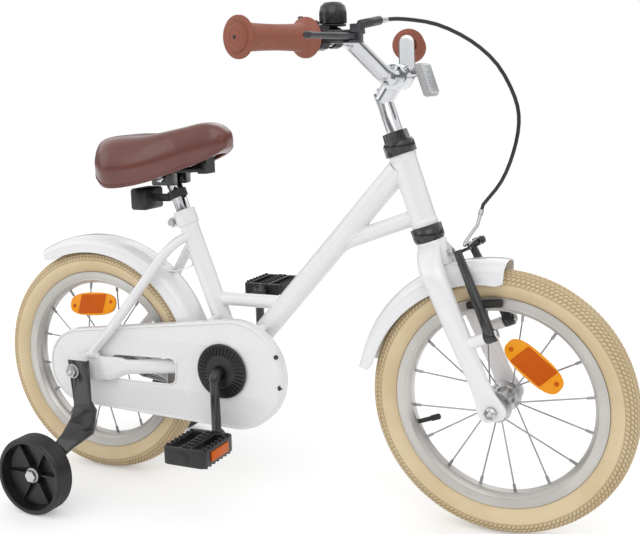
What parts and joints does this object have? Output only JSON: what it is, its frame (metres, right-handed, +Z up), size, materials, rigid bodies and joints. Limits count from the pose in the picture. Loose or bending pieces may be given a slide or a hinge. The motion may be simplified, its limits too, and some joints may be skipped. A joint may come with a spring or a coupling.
{
  "type": "kids bike",
  "caption": "Small child's bicycle with stabilisers, mudguards, chain guard, rim brake, bell and padded saddle.",
  "frame": {"origin": "on the ground under the middle of the wheelbase, on the bicycle's centre plane", "axes": "+X forwards, +Y to the rider's left, +Z up"},
  "size_m": [0.98, 0.5698, 0.6857],
  "materials": {
    "white_paint": "gloss white",
    "black_metal": "satin black",
    "bright_steel": "zinc plated",
    "chrome": "polished",
    "silver_rim": "satin",
    "cream_tyre": "cream rubber",
    "clear_lens": "clear reflector",
    "black_plastic": "satin black",
    "grey_plastic": "dark grey",
    "brake_rubber": "matte black",
    "orange_lens": "orange reflector",
    "brown_rubber": "brown",
    "brown_vinyl": "brown vinyl"
  },
  "bodies": {
    "frame": {"head_tube": "white_paint", "down_tube": "white_paint", "brace_tube": "white_paint", "seat_tube": "white_paint", "bottom_bracket_cup_right": "bright_steel", "bottom_bracket_cup_left": "bright_steel", "chain_stay_right": "white_paint", "chain_stay_left": "white_paint", "seat_stay_right": "white_paint", "seat_stay_left": "white_paint", "headset_upper": "black_metal", "headset_lower": "black_metal", "seat_clamp_bolt": "bright_steel", "rear_fender": "white_paint", "chain_guard": "white_paint", "chain": "black_metal", "rear_axle": "bright_steel", "coaster_brake_arm": "bright_steel", "stabiliser_bracket_right": "black_metal", "stabiliser_bracket_left": "black_metal"},
    "fork": {"fork": "white_paint", "front_axle": "bright_steel", "front_fender": "white_paint", "brake_noodle": "bright_steel", "brake_cable": "black_plastic"},
    "front_wheel": {"front_tyre": "cream_tyre", "front_rim": "silver_rim", "front_hub": "bright_steel", "front_wheel_reflector": "orange_lens"},
    "rear_wheel": {"rear_tyre": "cream_tyre", "rear_rim": "silver_rim", "rear_hub": "bright_steel", "rear_wheel_reflector": "orange_lens"},
    "rear_sprocket": {"rear_sprocket": "black_metal"},
    "crank": {"crank": "black_metal", "chainring": "black_metal", "crank_cover": "black_plastic"},
    "pedal_right": {"pedal_right": "black_plastic"},
    "pedal_left": {"pedal_left": "black_plastic"},
    "stabiliser_wheel_right": {"stabiliser_wheel_right": "black_plastic"},
    "stabiliser_wheel_left": {"stabiliser_wheel_left": "black_plastic"},
    "brake_arm_right": {"brake_arm_right": "black_metal", "brake_pad_right": "brake_rubber"},
    "brake_arm_left": {"brake_arm_left": "black_metal", "brake_pad_left": "brake_rubber"},
    "cockpit": {"stem": "chrome", "handlebar": "chrome", "grip_right": "brown_rubber", "grip_left": "brown_rubber", "brake_lever_mount": "grey_plastic", "bell_base": "black_plastic", "bell_dome": "black_plastic", "front_reflector": "clear_lens"},
    "brake_lever": {"brake_lever": "grey_plastic"},
    "bell_lever": {"bell_lever": "black_plastic"},
    "seat_post": {"seat_post": "chrome", "rear_reflector": "black_plastic"},
    "saddle": {"saddle_clamp": "black_metal", "saddle_base": "black_plastic", "saddle_cushion": "brown_vinyl"}
  },
  "joints": [
    {"name": "steering", "type": "hinge", "parent": "frame", "child": "fork", "pos_m": [0.29396, 0, 0.16675], "axis": [-0.3123, 0, 0.95], "range_deg": [-55, 55]},
    {"name": "front_wheel_spin", "type": "hinge", "parent": "fork", "child": "front_wheel", "pos_m": [0.316, 0, 0.174], "axis": [0, 1, 0], "continuous": true},
    {"name": "rear_wheel_spin", "type": "hinge", "parent": "frame", "child": "rear_wheel", "pos_m": [-0.316, 0, 0.174], "axis": [0, 1, 0], "continuous": true},
    {"name": "crank_spin", "type": "hinge", "parent": "frame", "child": "crank", "pos_m": [-0.074, 0, 0.189], "axis": [0, 1, 0], "continuous": true},
    {"name": "rear_sprocket_spin", "type": "hinge", "parent": "frame", "child": "rear_sprocket", "pos_m": [-0.316, 0, 0.174], "axis": [0, 1, 0], "continuous": true},
    {"name": "pedal_right_spin", "type": "hinge", "parent": "crank", "child": "pedal_right", "pos_m": [-0.074, -0.1185, 0.1], "axis": [0, 1, 0], "continuous": true},
    {"name": "pedal_left_spin", "type": "hinge", "parent": "crank", "child": "pedal_left", "pos_m": [-0.074, 0.1185, 0.278], "axis": [0, 1, 0], "continuous": true},
    {"name": "stabiliser_wheel_right_spin", "type": "hinge", "parent": "frame", "child": "stabiliser_wheel_right", "pos_m": [-0.304, -0.187, 0.056], "axis": [0, 1, 0], "continuous": true},
    {"name": "stabiliser_wheel_left_spin", "type": "hinge", "parent": "frame", "child": "stabiliser_wheel_left", "pos_m": [-0.304, 0.187, 0.056], "axis": [0, 1, 0], "continuous": true},
    {"name": "handlebar_height", "type": "slide", "parent": "fork", "child": "cockpit", "axis": [-0.3123, 0, 0.95], "range_m": [-0.03, 0.03], "deforming": ["brake_cable"]},
    {"name": "brake_lever_pull", "type": "hinge", "parent": "cockpit", "child": "brake_lever", "pos_m": [0.17982, -0.14877, 0.64271], "axis": [0, 0.0082, -1], "range_deg": [0, 16], "stiffness_Nm_per_rad": 0.5, "springref_deg": -8.59},
    {"name": "brake_arm_right_close", "type": "hinge", "parent": "fork", "child": "brake_arm_right", "pos_m": [0.3152, -0.0465, 0.27092], "axis": [-0.9143, 0, -0.4051], "range_deg": [0, 1.25]},
    {"name": "brake_arm_left_close", "type": "hinge", "parent": "fork", "child": "brake_arm_left", "pos_m": [0.3152, 0.0465, 0.27092], "axis": [0.9143, 0, 0.4051], "range_deg": [0, 1.25]},
    {"name": "bell_lever_flick", "type": "hinge", "parent": "cockpit", "child": "bell_lever", "pos_m": [0.12905, -0.13155, 0.64286], "axis": [0, -0.0082, 1], "range_deg": [0, 25], "stiffness_Nm_per_rad": 0.02, "springref_deg": -22.92},
    {"name": "saddle_height", "type": "slide", "parent": "frame", "child": "seat_post", "axis": [-0.3502, 0, 0.9367], "range_m": [-0.015, 0.065]},
    {"name": "saddle_tilt", "type": "hinge", "parent": "seat_post", "child": "saddle", "pos_m": [-0.17609, 0, 0.46204], "axis": [0, 1, 0], "range_deg": [-12, 12]}
  ],
  "couplings": [
    {"joint": "rear_sprocket_spin", "follows": "crank_spin", "ratio": 1.75},
    {"joint": "brake_arm_right_close", "follows": "brake_lever_pull", "ratio": 0.078},
    {"joint": "brake_arm_left_close", "follows": "brake_lever_pull", "ratio": 0.078}
  ]
}
